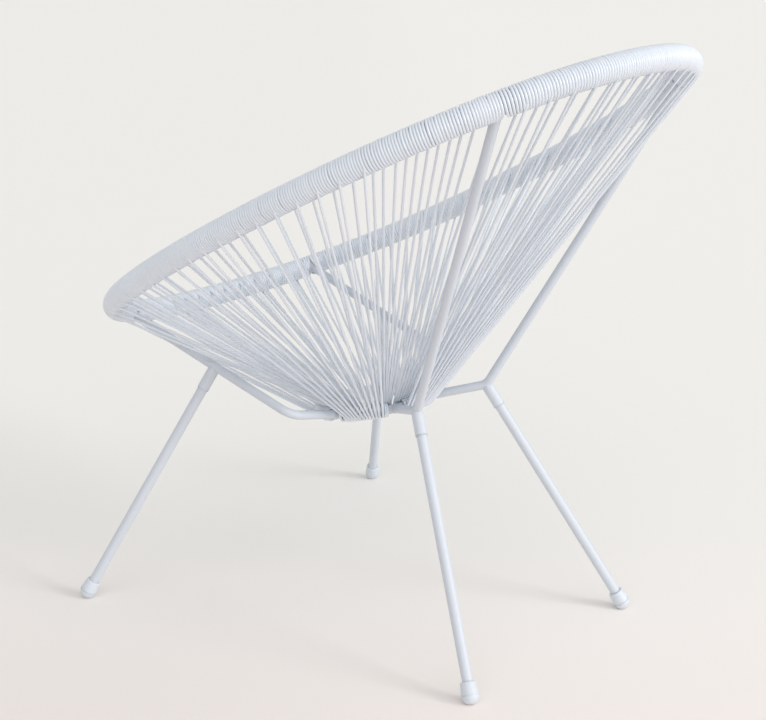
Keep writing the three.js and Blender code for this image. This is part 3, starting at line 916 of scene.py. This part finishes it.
def strand_shape(strand):
    """One strand: a curl on the rim, a straight run, and a curl on the ring.
    It is stretched thinner at the rim's end."""
    run = strand["run"]
    top, top_reference = curl(rim_line, *strand["rim"], run, rim_wound_radius, True)
    bottom, bottom_reference = curl(ring_line, *strand["ring"], -run, ring_wound_radius, False)
    share = np.linspace(0.0, 1.0, STRAND_STEPS + 2)[1:-1, None]
    middle = top[0] + (bottom[0] - top[0]) * share
    middle_reference = top_reference[0] + (bottom_reference[0] - top_reference[0]) * share
    points = np.vstack((top[::-1], middle, bottom))
    references = np.vstack((top_reference[::-1], middle_reference, bottom_reference))
    taut = np.full(CURL_STEPS + 1, TAUT_RADIUS)
    slackening = np.linspace(TAUT_RADIUS, WOUND_RADIUS, STRAND_STEPS)
    slack = np.full(CURL_STEPS + 1, WOUND_RADIUS)
    return sweep(points, references, np.concatenate((taut, slackening, slack)), CORD_SIDES)


def winding_shape(line, reach, turn, wound_radius, push):
    """A wound length of cord round a loop, whose turns stand a little more or less proud."""
    wobble = np.interp(turn, wobble_turns, wobble_heights)
    place = parted(reach, turn) if push else reach
    points, outward = line.round(place, turn, wound_radius + CORD_RADIUS - WOUND_RADIUS + wobble)
    return sweep(points, outward, WOUND_RADIUS, WOUND_SIDES, flatness=WOUND_FLATNESS)


# Where each spoke meets the rim, and the turn about the rim's line at which it comes in.
spoke_knots = []
spoke_corners = ("front_left", "back_left", "back_right", "front_right")
for corner, place in zip(spoke_corners, spoke_reaches):
    route, _ = spoke_routes[corner]
    _, _, inward = rim_line.at_one(place)
    run = unit(route[1] - route[0])
    spoke_knots.append((place, math.atan2(run @ rim_line.seat_side, run @ inward)))

sections = []
for names, start, end in bays:
    strands = make_strands(start, end)
    cuts = [round(len(strands) * index / len(names)) for index in range(len(names) + 1)]
    edges = [(strands[cut - 1]["rim"][0] + strands[cut]["rim"][0]) / 2 for cut in cuts[1:-1]]
    edges = [start, *edges, end]
    for index, name in enumerate(names):
        held = strands[cuts[index] : cuts[index + 1]]
        sections.append(
            {"name": name, "low": edges[index], "high": edges[index + 1], "strands": held}
        )

# The winding passes through each strand's top end, and passes a spoke on its far side.
rim_knots = [strand["rim"] for section in sections for strand in section["strands"]]
rim_knots += [
    (place if place < spoke_reaches[3] else place - rim_line.length, turn + math.pi)
    for place, turn in spoke_knots
]
rim_knots.sort()
rim_knots.append((rim_knots[0][0] + rim_line.length, rim_knots[0][1]))
rim_reach, rim_turn = wind(rim_knots)

# The turns part round each spoke, and a little where a strand goes down on the seat side.
partings = [
    (place, turn, SPOKE_PUSH, SPOKE_PUSH_REACH, SPOKE_PUSH_FOCUS) for place, turn in spoke_knots
]
for section in sections:
    for strand in section["strands"]:
        if strand["on_seat_side"]:
            place, face = strand["rim"]
            way = 1.0 if strand["run"] @ round_tangent(rim_line, place, face) < 0 else -1.0
            turn = face + way * CURL_TURN
            partings.append((place, turn, STRAND_PUSH, STRAND_PUSH_REACH, STRAND_PUSH_FOCUS))
wobble_turns = np.arange(rim_turn.min(), rim_turn.max() + 2 * math.pi, math.pi)
wobble_heights = chance.uniform(-RADIUS_JITTER, RADIUS_JITTER, len(wobble_turns))

for section in sections:
    first, last = np.searchsorted(rim_reach, (section["low"], section["high"]))
    reach = rim_reach[first : last + 1]
    turn = rim_turn[first : last + 1]
    shapes = [winding_shape(rim_line, reach, turn, rim_wound_radius, True)]
    shapes += [strand_shape(strand) for strand in section["strands"]]
    name = section["name"]
    add_piece(f"cord_{name}", shapes, cord_plastic, f"cords_{name}")

# Ring winding: the same cord in close turns round the seat ring.
# It lies in five stretches, which stop short of the spokes' welded ends.
STUB_CLEARANCE = 0.0105
ring_length = ring_line.length
length_per_radian = ring_length / (2 * math.pi)
front_stub = FRONT_STUB_TURN * length_per_radian
back_stub = BACK_STUB_TURN * length_per_radian
windings = {
    "front_right": (-front_stub + STUB_CLEARANCE, 0.0),
    "front_left": (0.0, front_stub - STUB_CLEARANCE),
    "left": (front_stub + STUB_CLEARANCE, back_stub - STUB_CLEARANCE),
    "back": (back_stub + STUB_CLEARANCE, ring_length - back_stub - STUB_CLEARANCE),
    "right": (ring_length - back_stub + STUB_CLEARANCE, ring_length - front_stub - STUB_CLEARANCE),
}
ring_knots = [strand["ring"] for section in sections for strand in section["strands"]]
for name, (low, high) in windings.items():
    ahead = sorted((low + (reach - low) % ring_length, turn) for reach, turn in ring_knots)
    inner = [knot for knot in ahead if knot[0] < high]
    knots = [(low, inner[0][1]), *inner, (high, inner[-1][1])]
    reach, turn = wind(knots)
    shape = winding_shape(ring_line, reach, turn, ring_wound_radius, False)
    add_piece(f"ring_cord_{name}", [shape], cord_plastic, f"ring_winding_{name}")
